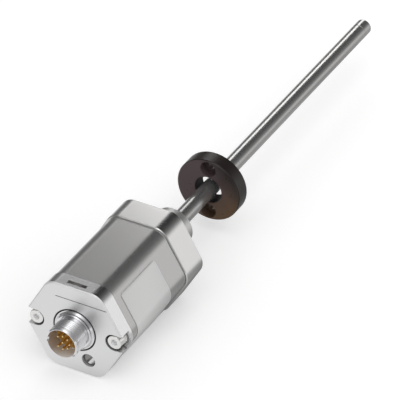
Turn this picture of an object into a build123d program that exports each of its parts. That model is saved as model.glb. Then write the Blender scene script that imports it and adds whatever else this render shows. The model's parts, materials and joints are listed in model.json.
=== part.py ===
"""Rod-style magnetostrictive position sensor with a ring-shaped position magnet.

Millimetres. The rod runs along +Y from the flange's seating face at Y = 0, the head lies
behind that face, and two flats of the hexagonal head lie level, one above and one below.
"""
import math
import os

from build123d import *

# Hexagonal head: a cap, an extruded profile and a stainless flange, clamped by two long screws.
cap_flat = 46.0
cap_corner = 8.0
cap_thickness = 7.9
cap_edge = 0.6
profile_flat = 45.0
profile_corner = 8.0
profile_length = 48.1
profile_wall = 3.0
flange_flat = 46.6
flange_corner = 8.0
flange_thickness = 14.7
flange_edge = 0.4
gasket_thickness = 0.5
gasket_inset = 0.3
cap_gasket_inset = 0.6

# Clearances: a close fit of turned pieces, and a loose one of pieces that are slid in. The
# tolerance tells whether an edge lies in a plane.
close_gap = 0.03
loose_gap = 0.1
plane_tolerance = 1e-4

# Smooth spigot behind the flange, which seals in the machine's bore.
spigot_radius = 10.0
spigot_length = 19.0
spigot_chamfer = 0.6
o_ring_section = 1.86
o_ring_groove_start = 5.5
o_ring_groove_width = 2.6

# Measuring rod, a closed tube with a slimmer shank that seats in the flange.
rod_radius = 4.0
rod_shank_radius = 3.75
rod_wall = 1.0
rod_reach = 209.6
plug_length = 6.5
plug_edge = 1.0
plug_tenon_length = 5.0
seam_chamfer = 0.15

# Sensing element inside the rod and its carrier in the head.
waveguide_radius = 0.5
waveguide_inset = 1.0
waveguide_tail_gap = 1.0
sleeve_radius = 2.5
sleeve_bore = 1.6
sleeve_seat_depth = 2.3
return_wire_radius = 0.3
return_wire_offset = 1.1
return_wire_seat = 5.0
damper_radius = 2.9
damper_length = 9.0
damper_end_gap = 0.3
carrier_radius = 8.0
carrier_length = 25.8
carrier_foot_radius = 8.9
carrier_foot_thickness = 3.5
counterbore_depth = 4.0
anchor_radius = 2.2
anchor_length = 3.6
coil_offset = 11.0
coil_pocket_length = 10.0
coil_pocket_width = 10.4
coil_floor = 1.6
coil_height = 4.8
coil_radius = 3.0
bobbin_radius = 3.2
bobbin_bore = 1.0
bobbin_wall = 0.5
bobbin_cheek = 0.6
tape_thickness = 0.3
tape_width = 1.4
tape_top = 6.8
bias_magnet_size = (1.5, 4.0, 4.8)
element_pin_radius = 0.3
element_pin_depth = 2.0
element_pin_x = 3.0
element_pin_inset = 2.5

# Two long screws with their washers, in pockets that are open at the hexagon's corners.
screw_offset = 20.0
screw_radius = 2.0
screw_engagement = 6.9
screw_head_radius = 3.5
screw_head_height = 4.0
screw_head_depth = 0.4
screw_socket_flat = 3.0
screw_socket_depth = 2.2
screw_head_edge = 0.3
screw_channel_radius = 2.3
washer_play = 0.2
spring_washer_radius = 3.4
spring_washer_thickness = 0.9
spring_washer_gap = 0.6
spring_washer_slant = 35.0
spring_washer_turn = 60.0
plain_washer_radius = 3.8
plain_washer_thickness = 0.8
pocket_radius = 4.3
tapped_depth = 9.5

# Electrical connector on the cap: an eight-contact round plug, coupled by its outer thread.
connector_reach = 11.5
connector_radius = 8.0
connector_rim_radius = 7.4
connector_bore = 6.8
connector_disc_radius = 10.2
connector_seat_depth = 1.4
connector_shoulder_radius = 9.2
connector_shoulder_height = 2.0
connector_shoulder_edge = 0.5
connector_undercut_radius = 7.5
connector_undercut_width = 1.0
connector_tail = 13.0
connector_recess_radius = 11.0
key_notch_width = 1.8
key_notch_depth = 1.3
side_notch_width = 1.2
side_notch_angle = -35.0
insert_depth = 7.5
insert_tail = 0.5
contact_radius = 0.5
contact_circle = 3.5
contact_pitch_angle = 262.0 / 6
contact_tip_depth = 0.6
contact_tail = 0.4
contact_tip_edge = 0.3
nut_flat = 19.0
nut_corner = 0.5
nut_thickness = 3.0
connector_board_radius = 7.6
connector_board_thickness = 1.0
connector_seal_height = 1.0

# Earth screw, sunk beside the connector.
earth_x = 6.8
earth_z = -14.5
earth_recess_radius = 3.4
earth_recess_depth = 3.0
earth_head_radius = 2.9
earth_head_height = 1.8
earth_screw_radius = 2.0
earth_screw_length = 3.4
earth_slot_width = 0.9
earth_slot_depth = 0.9
earth_slot_angle = 55.0

# Status window in the cap's upper flat, with a light guide that leads to the lamps behind the cap.
window_length = 9.6
window_width = 2.0
window_depth = 3.4
window_sink = 0.2
guide_bottom = 15.0
guide_height = 2.0
scribe_height = 15.9
scribe_left = -9.5
scribe_right = 16.6
scribe_width = 0.35
scribe_depth = 0.3
lamp_size = (1.8, 0.7, 1.4)
lamp_offset = 3.4

# Bare nameplate on the profile's upper right flat.
nameplate_length = 29.8
nameplate_rise = 6.5
nameplate_thickness = 0.3
nameplate_corner = 1.5
nameplate_start = 5.1

# Circuit boards, slid into slots of the profile.
cavity_half_width = 14.8
slot_depth = 1.3
board_height = 11.2
board_thickness = 1.6
board_front_gap = 0.5
board_rear_gap = 1.8
lower_board_front_gap = 2.3
lamp_board_size = (12.0, 1.0, 6.5)
lamp_board_gap = 0.8
flex_thickness = 0.25
flex_width = 6.0
flex_bend = 1.5
flex_top = -4.8
flex_run = 3.0
chip_size = (10.0, 8.0, 1.6)
chip_x = 0.0
chip_from_carrier = 7.5
regulator_size = (6.6, 6.2, 2.3)
regulator_x = -8.0
regulator_from_front = 16.8
transformer_size = (12.0, 8.5, 7.0)
transformer_x = 0.0
transformer_from_front = 15.0
transformer_edge = 0.8
capacitor_radius = 2.5
capacitor_height = 6.5
capacitor_pitch = 8.0
capacitor_from_rear = 13.0

# Position magnet: a ring that rides on the machine's moving part, clear of the rod.
magnet_radius = 16.4
magnet_bore = 6.75
magnet_thickness = 7.9
magnet_edge = 0.5
magnet_start = 51.0
magnet_hole_offset = 11.55
magnet_hole_radius = 2.15
magnet_counterbore_radius = 4.0
magnet_counterbore_depth = 4.4

# Stations along the rod.
flange_front = -flange_thickness
profile_rear = flange_front - gasket_thickness
profile_front = profile_rear - profile_length
cap_front = profile_front - cap_thickness
rod_bore = rod_radius - rod_wall
rod_front = flange_front + counterbore_depth
tube_end = rod_reach - plug_length
carrier_front = rod_front - carrier_foot_thickness - carrier_length
sleeve_front = rod_front - sleeve_seat_depth
coil_station = carrier_front + coil_offset
damper_end = tube_end - plug_tenon_length - damper_end_gap
sleeve_end = damper_end - damper_length
head_front = cap_front + screw_head_depth
head_rear = head_front + screw_head_height
spring_washer_rear = head_rear + spring_washer_thickness
pocket_floor = spring_washer_rear + plain_washer_thickness
rim = cap_front - connector_reach
insert_front = rim + insert_depth
shell_rear = cap_front + connector_tail
insert_rear = shell_rear + insert_tail
contact_tip = rim + contact_tip_depth
connector_board_rear = insert_rear + connector_board_thickness
contact_rear = connector_board_rear + contact_tail
window_station = cap_front + window_depth
board_under = board_height - board_thickness / 2
board_top = board_height + board_thickness / 2
board_front = profile_front + board_front_gap
board_rear = profile_rear - board_rear_gap
lower_board_front = profile_front + lower_board_front_gap
cavity_top = profile_flat / 2 - profile_wall
magnet_end = magnet_start + magnet_thickness
sides = (-1, 1)


def along_rod(section, start, end):
    """Prism of a section drawn in X and Z, from one station along the rod to another."""
    return extrude(Plane.XZ.offset(-start) * section, amount=start - end)


def turned(points):
    """Body of revolution about the rod's axis, from (radius, station) corners."""
    return revolve(make_face(Polyline(*points, close=True)), Axis.Y)


def tube(outer, inner, start, end):
    """Straight tube about the rod's axis."""
    return along_rod(Circle(outer) - Circle(inner), start, end)


def block(size, centre_x, centre_y, bottom):
    """Upright block that stands on a given height."""
    return Pos(centre_x, centre_y, bottom + size[2] / 2) * Box(*size)


def hexagon(flat, corner):
    """Hexagon with rounded corners and with flats above and below."""
    vertex = flat / math.sqrt(3)
    outline = [(vertex * math.cos(math.radians(60 * k)), vertex * math.sin(math.radians(60 * k)))
               for k in range(6)]
    section = make_face(Polyline(*outline, close=True))
    return fillet(section.vertices(), corner)


def front_edges(body, station):
    """Edges of a body that lie in one plane across the rod."""
    return [e for e in body.edges() if abs(e.bounding_box().min.Y - station) < plane_tolerance
            and abs(e.bounding_box().max.Y - station) < plane_tolerance]


def cavity():
    """Room for the electronics: a smaller hexagon, cut straight beside the screw channels."""
    room = hexagon(profile_flat - 2 * profile_wall, profile_corner - profile_wall)
    return room & Rectangle(2 * cavity_half_width, profile_flat)


def screw_channels():
    """Two round channels for the long screws."""
    return Sketch() + [Pos(side * screw_offset, 0) * Circle(screw_channel_radius) for side in sides]


def seal_section(inset):
    """Flat gasket between two faces of the head, set in from the profile's outline."""
    return hexagon(profile_flat - 2 * inset, profile_corner - inset) - cavity() - screw_channels()


def pocket_section():
    """Screw pocket: round inside, and open through the hexagon's corner."""
    reach = cap_flat
    shapes = []
    for side in sides:
        centre = side * screw_offset
        shapes.append(Pos(centre, 0) * Circle(pocket_radius))
        shapes.append(Pos(centre + side * reach / 2, 0) * Rectangle(reach, 2 * pocket_radius))
    return Sketch() + shapes


def end_cap():
    """Machined cap with the connector's seat, screw pockets, earth recess and window slot."""
    body = along_rod(hexagon(cap_flat, cap_corner), cap_front, profile_front)
    body = chamfer(front_edges(body, cap_front), cap_edge)
    body -= along_rod(pocket_section(), cap_front, pocket_floor)
    body -= along_rod(screw_channels(), pocket_floor, profile_front)
    body -= along_rod(Circle(connector_recess_radius), cap_front, cap_front + connector_seat_depth)
    body -= along_rod(Circle(connector_radius + close_gap), cap_front, profile_front)
    seat = Pos(earth_x, earth_z)
    earth_end = cap_front + earth_recess_depth + earth_screw_length + loose_gap
    body -= along_rod(seat * Circle(earth_recess_radius), cap_front, cap_front + earth_recess_depth)
    body -= along_rod(seat * Circle(earth_screw_radius + close_gap), cap_front, earth_end)
    body -= guide_shape(0, cap_flat / 2)
    scribe = Pos((scribe_left + scribe_right) / 2, scribe_height)
    scribe *= Rectangle(scribe_right - scribe_left, scribe_width)
    body -= along_rod(scribe, cap_front, cap_front + scribe_depth)
    recess = hexagon(profile_flat - 2 * cap_gasket_inset + 2 * loose_gap, profile_corner - cap_gasket_inset)
    recess -= cavity()
    body -= along_rod(recess, profile_front - gasket_thickness, profile_front)
    return body


def guide_shape(gap, top):
    """Light guide, bent from the window down and back to the lamps; the gap makes it fit its slot."""
    length = window_length - 2 * gap
    width = window_width - 2 * gap
    bottom = guide_bottom + gap
    post = Box(length, width, top - bottom, align=(Align.CENTER, Align.CENTER, Align.MIN))
    run = profile_front - window_station + width / 2
    foot = Box(length, run, guide_height - 2 * gap, align=(Align.CENTER, Align.MIN, Align.MIN))
    post = Pos(0, window_station, bottom) * post
    return post + Pos(0, window_station - width / 2, bottom) * foot


def housing_profile():
    """Extruded profile with its screw channels and four board slots."""
    section = hexagon(profile_flat, profile_corner) - cavity() - screw_channels()
    slot_length = 2 * (cavity_half_width + slot_depth)
    for side in sides:
        section -= Pos(0, side * board_height) * Rectangle(slot_length, board_thickness + loose_gap)
    return along_rod(section, profile_front, profile_rear)


def mounting_flange():
    """Hexagonal flange and smooth spigot, turned in one piece, bored for the rod."""
    body = along_rod(hexagon(flange_flat, flange_corner), flange_front, 0)
    body = chamfer(front_edges(body, flange_front) + front_edges(body, 0), flange_edge)
    floor = spigot_radius - o_ring_section
    groove_end = o_ring_groove_start + o_ring_groove_width
    body += turned([(0, -flange_edge), (spigot_radius, -flange_edge),
                    (spigot_radius, o_ring_groove_start), (floor, o_ring_groove_start),
                    (floor, groove_end), (spigot_radius, groove_end),
                    (spigot_radius, spigot_length - spigot_chamfer),
                    (spigot_radius - spigot_chamfer, spigot_length), (0, spigot_length)])
    body -= along_rod(Circle(rod_shank_radius + close_gap), flange_front, spigot_length)
    body -= along_rod(Circle(carrier_foot_radius + loose_gap), flange_front, rod_front)
    for side in sides:
        hole = Pos(side * screw_offset, 0) * Circle(screw_radius + close_gap)
        body -= along_rod(hole, flange_front, flange_front + tapped_depth)
    return body


def flange_o_ring():
    """Seal of the spigot, drawn squeezed to the bore that it seals in."""
    section = o_ring_section / 2 - close_gap / 2
    station = o_ring_groove_start + o_ring_groove_width / 2
    ring = Torus(spigot_radius - o_ring_section / 2, section)
    return Pos(0, station, 0) * Rot(90, 0, 0) * ring


def cap_screws():
    """Long socket-head screws that clamp cap, profile and flange."""
    screw = along_rod(Circle(screw_head_radius), head_front, head_rear)
    screw = chamfer(front_edges(screw, head_front), screw_head_edge)
    screw += along_rod(Circle(screw_radius), head_rear, flange_front + screw_engagement)
    socket = RegularPolygon(screw_socket_flat / 2, 6, major_radius=False)
    screw -= along_rod(socket, head_front, head_front + screw_socket_depth)
    return [Pos(side * screw_offset, 0, 0) * screw for side in sides]


def spring_washers():
    """Split spring washers, drawn flattened under the screw heads."""
    ring = tube(spring_washer_radius, screw_radius + washer_play, head_rear, spring_washer_rear)
    cut = Box(spring_washer_gap, 2 * spring_washer_thickness, spring_washer_radius)
    cut = Rot(0, 0, spring_washer_slant) * cut
    ring -= Pos(0, (head_rear + spring_washer_rear) / 2, spring_washer_radius) * cut
    return [Pos(side * screw_offset, 0, 0) * Rot(0, -side * spring_washer_turn, 0) * ring for side in sides]


def plain_washers():
    """Flat washers on the pocket floors."""
    ring = tube(plain_washer_radius, screw_radius + washer_play, spring_washer_rear, pocket_floor)
    return [Pos(side * screw_offset, 0, 0) * ring for side in sides]


def connector_shell():
    """Turned shell of the connector, with key notches in its rim and a thread on its barrel."""
    undercut = cap_front - connector_shoulder_height - connector_undercut_width
    chamfer_end = rim + connector_radius - connector_rim_radius
    shoulder = cap_front - connector_shoulder_height
    edge = connector_shoulder_edge
    body = turned([(connector_bore, rim), (connector_rim_radius, rim), (connector_radius, chamfer_end),
                   (connector_radius, undercut), (connector_undercut_radius, undercut),
                   (connector_undercut_radius, shoulder), (connector_shoulder_radius - edge, shoulder),
                   (connector_shoulder_radius, shoulder + edge), (connector_shoulder_radius, cap_front - edge),
                   (connector_shoulder_radius + edge, cap_front), (connector_disc_radius, cap_front),
                   (connector_disc_radius, cap_front + connector_seat_depth),
                   (connector_radius, cap_front + connector_seat_depth),
                   (connector_radius, shell_rear), (connector_bore, shell_rear)])
    notches = ((180.0, key_notch_width), (side_notch_angle, side_notch_width))
    for angle, width in notches:
        notch = Pos(connector_radius, 0) * Rectangle(connector_radius, width)
        notch = Rot(0, 0, angle) * notch
        body -= along_rod(notch, rim, rim + key_notch_depth)
    return body


def contact_places():
    """One contact at the centre and seven around it, with a gap on the keyed side."""
    ring = [math.radians(contact_pitch_angle * (k - 3)) for k in range(7)]
    around = [(contact_circle * math.cos(a), contact_circle * math.sin(a)) for a in ring]
    return [(0.0, 0.0)] + around


def contact_holes(radius):
    """Round holes at the contacts' places."""
    return Sketch() + [Pos(x, z) * Circle(radius) for x, z in contact_places()]


def connector_insert():
    """Amber insulator that holds the contacts."""
    section = Circle(connector_bore - close_gap) - contact_holes(contact_radius + close_gap)
    return along_rod(section, insert_front, insert_rear)


def contact_pins():
    """Gold-plated contacts, tapered at their tips, that end behind the connector's board."""
    pin = along_rod(Circle(contact_radius), contact_tip, contact_rear)
    pin = chamfer(front_edges(pin, contact_tip), contact_tip_edge)
    return [Pos(x, 0, z) * pin for x, z in contact_places()]


def connector_nut():
    """Thin hexagon nut that holds the connector from inside the cap."""
    section = hexagon(nut_flat, nut_corner) - Circle(connector_radius + close_gap)
    return along_rod(section, profile_front, profile_front + nut_thickness)


def connector_board():
    """Round board on the contacts' tails."""
    section = Circle(connector_board_radius) - contact_holes(contact_radius + close_gap)
    return along_rod(section, insert_rear, connector_board_rear)


def connector_seal():
    """Flat-sided seal in the gap round the connector's disc."""
    floor = cap_front + connector_seat_depth
    outer = connector_recess_radius - close_gap
    return tube(outer, connector_disc_radius + close_gap, floor - connector_seal_height, floor)


def flex_link():
    """Flexible circuit, bent from the connector's board onto the lower board."""
    floor = -board_under
    inner = flex_bend - flex_thickness
    bend_y = connector_board_rear + flex_bend
    bend_z = floor + flex_bend
    end = bend_y + flex_run
    root = math.sqrt(0.5)
    outer_middle = (bend_y - flex_bend * root, bend_z - flex_bend * root)
    inner_middle = (bend_y - inner * root, bend_z - inner * root)
    outline = [Line((connector_board_rear, flex_top), (connector_board_rear, bend_z)),
               ThreePointArc((connector_board_rear, bend_z), outer_middle, (bend_y, floor)),
               Line((bend_y, floor), (end, floor)),
               Line((end, floor), (end, floor + flex_thickness)),
               Line((end, floor + flex_thickness), (bend_y, floor + flex_thickness)),
               ThreePointArc((bend_y, floor + flex_thickness), inner_middle,
                             (connector_board_rear + flex_thickness, bend_z)),
               Line((connector_board_rear + flex_thickness, bend_z),
                    (connector_board_rear + flex_thickness, flex_top)),
               Line((connector_board_rear + flex_thickness, flex_top), (connector_board_rear, flex_top))]
    section = make_face(Wire(outline))
    return extrude(Plane.YZ.offset(-flex_width / 2) * section, amount=flex_width)


def earth_screw():
    """Slotted screw for the earth lead, sunk in its recess."""
    seat = cap_front + earth_recess_depth
    top = seat - earth_head_height
    screw = along_rod(Circle(earth_head_radius), top, seat)
    screw = chamfer(front_edges(screw, top), screw_head_edge)
    screw += along_rod(Circle(earth_screw_radius), seat, seat + earth_screw_length)
    slot = Rot(0, 0, earth_slot_angle) * Rectangle(3 * earth_head_radius, earth_slot_width)
    screw -= along_rod(slot, top, top + earth_slot_depth)
    return Pos(earth_x, 0, earth_z) * screw


def light_guide():
    """Smoked clear guide, a little below the cap's flat."""
    return guide_shape(close_gap, cap_flat / 2 - window_sink)


def lamp_board():
    """Small upright board behind the cap that carries the lamps."""
    centre = profile_front + lamp_board_gap + lamp_board_size[1] / 2
    return block(lamp_board_size, 0, centre, board_top)


def status_lamps():
    """Two lamps at the guide's rear end."""
    centre = profile_front + lamp_board_gap - lamp_size[1] / 2
    bottom = guide_bottom + guide_height / 2 - lamp_size[2] / 2
    return [block(lamp_size, side * lamp_offset, centre, bottom) for side in sides]


def nameplate():
    """Bare plate bent evenly round the profile's right corner, with rounded corners of its own.

    Its rise is the distance of its long edge from the middle of the flat.
    """
    start = profile_front + nameplate_start
    outer = hexagon(profile_flat + 2 * nameplate_thickness, profile_corner + nameplate_thickness)
    section = outer - hexagon(profile_flat, profile_corner)
    slope = math.radians(30)
    near = (-nameplate_rise * math.sin(slope), nameplate_rise * math.cos(slope))
    far = (near[0] + profile_flat * math.cos(slope), near[1] + profile_flat * math.sin(slope))
    section &= make_face(Polyline(near, far, (far[0], -far[1]), (near[0], -near[1]), close=True))
    body = along_rod(section, start, start + nameplate_length)
    limit = nameplate_thickness + plane_tolerance
    return fillet([e for e in body.edges() if e.length < limit], nameplate_corner)


def circuit_board(front, rear, height):
    """Plain board between two slots."""
    width = 2 * (cavity_half_width + slot_depth - loose_gap)
    return block((width, rear - front, board_thickness), 0, (front + rear) / 2, height)


def pulse_transformer():
    """Coupling transformer under the lower board, with rounded upright edges."""
    centre = lower_board_front + transformer_from_front
    body = block(transformer_size, transformer_x, centre, -board_top - transformer_size[2])
    return fillet(body.edges().filter_by(Axis.Z), transformer_edge)


def capacitors():
    """Row of three upright capacitors on the upper board."""
    can = Cylinder(capacitor_radius, capacitor_height, align=(Align.CENTER, Align.CENTER, Align.MIN))
    row = board_rear - capacitor_from_rear
    return [Pos(k * capacitor_pitch, row, board_top) * can for k in (-1, 0, 1)]


def element_carrier():
    """Moulded carrier that seats in the flange and holds the coil and the waveguide's front end."""
    foot_front = rod_front - carrier_foot_thickness
    body = along_rod(Circle(carrier_radius), carrier_front, foot_front)
    body += along_rod(Circle(carrier_foot_radius), foot_front, rod_front)
    body -= along_rod(Circle(waveguide_radius + loose_gap), carrier_front, rod_front)
    body -= along_rod(Circle(sleeve_radius + close_gap), sleeve_front, rod_front)
    body -= along_rod(Circle(anchor_radius + close_gap), carrier_front, carrier_front + anchor_length)
    wire_hole = Pos(return_wire_offset, 0) * Circle(return_wire_radius + close_gap)
    body -= along_rod(wire_hole, sleeve_front - return_wire_seat, sleeve_front)
    body -= block((coil_pocket_width, coil_pocket_length, carrier_radius), 0, coil_station, coil_floor)
    body -= block((2 * bobbin_bore, 2 * bobbin_bore, coil_floor), 0, coil_station, 0)
    for x, y in element_pin_places():
        hole = Cylinder(element_pin_radius + close_gap, carrier_radius)
        body -= Pos(x, y, element_pin_foot() + carrier_radius / 2) * hole
    return body


def element_pin_places():
    """Four pins, two at each end of the carrier."""
    front = carrier_front + element_pin_inset
    rear = rod_front - carrier_foot_thickness - element_pin_inset
    return [(side * element_pin_x, y) for side in sides for y in (front, rear)]


def element_pin_foot():
    """Height of the pins' lower ends, sunk in the carrier's round side."""
    return math.sqrt(carrier_radius ** 2 - element_pin_x ** 2) - element_pin_depth


def element_pins():
    """Pins that link the carrier to the upper board."""
    foot = element_pin_foot()
    height = board_under - foot
    pin = Cylinder(element_pin_radius, height, align=(Align.CENTER, Align.CENTER, Align.MIN))
    return [Pos(x, y, foot) * pin for x, y in element_pin_places()]


def coil_bobbin():
    """Spool that stands over the waveguide, with the strain tape in its bore."""
    inner = Cylinder(bobbin_bore + bobbin_wall, coil_height)
    cheek = Cylinder(bobbin_radius, bobbin_cheek)
    shift = (coil_height - bobbin_cheek) / 2
    spool = inner + Pos(0, 0, shift) * cheek + Pos(0, 0, -shift) * cheek
    spool -= Cylinder(bobbin_bore, 2 * coil_height)
    return Pos(0, coil_station, coil_floor + coil_height / 2) * spool


def pickup_coil():
    """Winding between the spool's cheeks."""
    height = coil_height - 2 * bobbin_cheek
    coil = Cylinder(coil_radius, height) - Cylinder(bobbin_bore + bobbin_wall + close_gap, height)
    return Pos(0, coil_station, coil_floor + coil_height / 2) * coil


def strain_tape():
    """Tape that stands on the waveguide and turns its strain pulse into a flux change."""
    size = (tape_thickness, tape_width, tape_top - waveguide_radius)
    return block(size, 0, coil_station, waveguide_radius)


def bias_magnet():
    """Small magnet beside the coil."""
    centre = coil_pocket_width / 2 - loose_gap - bias_magnet_size[0] / 2
    return block(bias_magnet_size, centre, coil_station, coil_floor)


def waveguide():
    """Straight magnetostrictive wire from its anchor to the damper."""
    front = carrier_front + waveguide_inset
    return along_rod(Circle(waveguide_radius), front, damper_end - waveguide_tail_gap)


def return_wire():
    """Copper wire beside the waveguide."""
    section = Pos(return_wire_offset, 0) * Circle(return_wire_radius)
    return along_rod(section, sleeve_front - return_wire_seat, sleeve_end)


def sensor_rod():
    """Stainless tube that is seated in the flange by its shank and closed by the welded plug."""
    body = tube(rod_radius, rod_bore, spigot_length, tube_end)
    body += tube(rod_shank_radius, rod_bore, rod_front, spigot_length)
    outer = [e for e in front_edges(body, tube_end) if e.radius > rod_bore + rod_wall / 2]
    return chamfer(outer, seam_chamfer)


def rod_end_plug():
    """Plug with a rounded end and a tenon in the tube."""
    body = along_rod(Circle(rod_radius), tube_end, rod_reach)
    body = fillet(front_edges(body, rod_reach), plug_edge)
    body = chamfer(front_edges(body, tube_end), seam_chamfer)
    tenon = along_rod(Circle(rod_bore - close_gap), tube_end - plug_tenon_length, tube_end)
    return body + tenon


def position_magnet():
    """Moulded ring with two counterbored screw holes."""
    ring = tube(magnet_radius, magnet_bore, magnet_start, magnet_end)
    ring = chamfer(front_edges(ring, magnet_start) + front_edges(ring, magnet_end), magnet_edge)
    for side in sides:
        place = Pos(0, side * magnet_hole_offset)
        ring -= along_rod(place * Circle(magnet_hole_radius), magnet_start, magnet_end)
        sink_end = magnet_start + magnet_counterbore_depth
        ring -= along_rod(place * Circle(magnet_counterbore_radius), magnet_start, sink_end)
    return ring


nodes = {
    "end_cap": end_cap(),
    "housing_profile": housing_profile(),
    "mounting_flange": mounting_flange(),
    "cap_gasket": along_rod(seal_section(cap_gasket_inset), profile_front - gasket_thickness, profile_front),
    "flange_gasket": along_rod(seal_section(gasket_inset), profile_rear, flange_front),
    "flange_o_ring": flange_o_ring(),
    "cap_screws": cap_screws(),
    "spring_washers": spring_washers(),
    "plain_washers": plain_washers(),
    "connector_shell": connector_shell(),
    "connector_insert": connector_insert(),
    "contact_pins": contact_pins(),
    "connector_nut": connector_nut(),
    "connector_board": connector_board(),
    "connector_seal": connector_seal(),
    "flex_link": flex_link(),
    "earth_screw": earth_screw(),
    "light_guide": light_guide(),
    "lamp_board": lamp_board(),
    "status_lamps": status_lamps(),
    "nameplate": nameplate(),
    "upper_board": circuit_board(board_front, board_rear, board_under),
    "lower_board": circuit_board(lower_board_front, board_rear, -board_top),
    "processor_chip": block(chip_size, chip_x, carrier_front - chip_from_carrier, board_under - chip_size[2]),
    "voltage_regulator": block(regulator_size, regulator_x, board_front + regulator_from_front, board_top),
    "pulse_transformer": pulse_transformer(),
    "capacitors": capacitors(),
    "element_carrier": element_carrier(),
    "element_pins": element_pins(),
    "coil_bobbin": coil_bobbin(),
    "pickup_coil": pickup_coil(),
    "strain_tape": strain_tape(),
    "bias_magnet": bias_magnet(),
    "waveguide_anchor": tube(anchor_radius, waveguide_radius + close_gap, carrier_front,
                             carrier_front + anchor_length),
    "waveguide": waveguide(),
    "waveguide_sleeve": tube(sleeve_radius, sleeve_bore, sleeve_front, sleeve_end),
    "return_wire": return_wire(),
    "damper": tube(damper_radius, waveguide_radius + close_gap, sleeve_end, damper_end),
    "sensor_rod": sensor_rod(),
    "rod_end_plug": rod_end_plug(),
    "position_magnet": position_magnet(),
}

os.makedirs("parts", exist_ok=True)
for name, shape in nodes.items():
    solids = shape if isinstance(shape, list) else [shape]
    solids = [solid for item in solids for solid in item.solids()]
    whole = solids[0] if len(solids) == 1 else Compound(solids)
    export_step(whole, f"parts/{name}.step")
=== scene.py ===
"""Looks of a rod-style position sensor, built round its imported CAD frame.

Laid out as an add-on: property groups hold the sizes and colours, one operator dresses each group
of pieces, and a panel in the sidebar lists the operators. Lengths are in metres, in the CAD frame:
+Y along the measuring rod, +Z up.
"""
import json
import math

import bmesh
import bpy
from mathutils import Matrix, Vector


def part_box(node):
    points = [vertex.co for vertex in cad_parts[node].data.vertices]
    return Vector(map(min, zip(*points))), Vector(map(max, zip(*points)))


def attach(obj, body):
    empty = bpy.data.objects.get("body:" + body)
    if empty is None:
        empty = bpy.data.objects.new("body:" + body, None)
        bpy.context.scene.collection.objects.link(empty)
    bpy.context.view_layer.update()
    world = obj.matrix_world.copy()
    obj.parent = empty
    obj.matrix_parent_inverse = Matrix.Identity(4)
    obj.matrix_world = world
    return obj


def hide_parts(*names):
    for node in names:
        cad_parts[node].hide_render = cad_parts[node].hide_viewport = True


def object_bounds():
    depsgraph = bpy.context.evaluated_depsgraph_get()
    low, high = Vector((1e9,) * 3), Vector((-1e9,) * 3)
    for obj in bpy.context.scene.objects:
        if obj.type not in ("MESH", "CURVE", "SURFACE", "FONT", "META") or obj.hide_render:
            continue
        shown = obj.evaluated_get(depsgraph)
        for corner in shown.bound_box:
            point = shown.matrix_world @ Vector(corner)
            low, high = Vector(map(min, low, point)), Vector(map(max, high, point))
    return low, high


bl_info = {
    "name": "Position sensor looks",
    "version": (1, 0, 0),
    "blender": (4, 5, 0),
    "location": "3D View > Sidebar > Sensor",
    "description": "Dresses the CAD frame of a rod-style position sensor",
    "category": "Object",
}

MM = 0.001
SENSOR = "sensor"
WELD = 1e-7  # vertices nearer than this are one
CLOSE = 1e-6  # slack when places are compared
SHARP = 1  # radians between two faces, from which an edge counts as a corner
NOISE_RANGE = (0.3, 0.7)  # most values of a noise lie between these
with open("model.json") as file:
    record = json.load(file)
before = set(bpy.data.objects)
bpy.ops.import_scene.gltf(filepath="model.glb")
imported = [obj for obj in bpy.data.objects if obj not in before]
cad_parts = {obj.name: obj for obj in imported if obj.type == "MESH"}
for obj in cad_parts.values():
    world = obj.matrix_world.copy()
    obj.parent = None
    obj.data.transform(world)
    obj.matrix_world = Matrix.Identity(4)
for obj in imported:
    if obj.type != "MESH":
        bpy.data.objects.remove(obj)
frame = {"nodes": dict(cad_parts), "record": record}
cad_box = [list(corner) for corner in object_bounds()]
cap_low, cap_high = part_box("end_cap")
profile_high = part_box("housing_profile")[1]
shell_low, shell_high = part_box("connector_shell")

# Where the finish changes on a piece
SKIN = 0.01 * MM  # depth that still belongs to a face
BELOW_FACE = 0.1 * MM
CAP_CHAMFER = 0.55 * MM
SCRIBED_ACROSS = (-9.4 * MM, 16.5 * MM)
SCRIBED_UP = (15.72 * MM, 16.08 * MM)
SCRIBED_DEPTH = 1.0 * MM
EARTH_REACH = 3.2 * MM
EARTH_FACE = 0.3 * MM  # depth of the earth screw's head that is lit
EARTH_SLOT = math.radians(55)
# Band of painted highlight on the earth screw's face
EARTH_PAINTED_HIGHLIGHT = (0.3 * MM, 0.7 * MM, 1.5 * MM, 2.2 * MM)  # rise and fall, from the middle
HEAD_RADIUS = 3.5 * MM
SOCKET_REACH = 1.74 * MM
SHELL_BORE_REACH = 7.15 * MM
SHELL_BORE_PAINTED_LIGHT = (-1 * MM, 8 * MM)
WINDOW_END = 2.6 * MM
RING_SHADED_RIM = 0.3 * MM
RING_SHADED_BORE_REACH = 7.0 * MM
RING_PAINTED_FADE_END = 22 * MM

# Screw pockets and earth recess in the cap: across, up and radius in mm, metallic share and painted shade
# tint
CAP_SHADED_BORES = ((-20.0, 0.0, 4.4, 0.3, "#8f8f8f"), (20.0, 0.0, 4.4, 0.3, "#8f8f8f"),
             (6.8, -14.5, 3.5, 0.5, "#c6c6c6"))

# Painted shadows on the floor as the metal mirrors it: x, y and reach in metres, and tone in the middle
PAINTED_SHADOW_PLACES = ((0.035, 0.035, 0.13, 0.26), (0.075, -0.12, 0.08, 0.7), (0.03, 0.2, 0.12, 0.45),
               (0.008, -0.05, 0.03, 0.3), (0.008, -0.015, 0.03, 0.3), (0.008, 0.02, 0.03, 0.3))

# The mirrored floor fades to the left between these places, down to a tone
FADE_LEFT = (-0.3, -0.1)
FADE_TONE = 0.2

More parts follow.
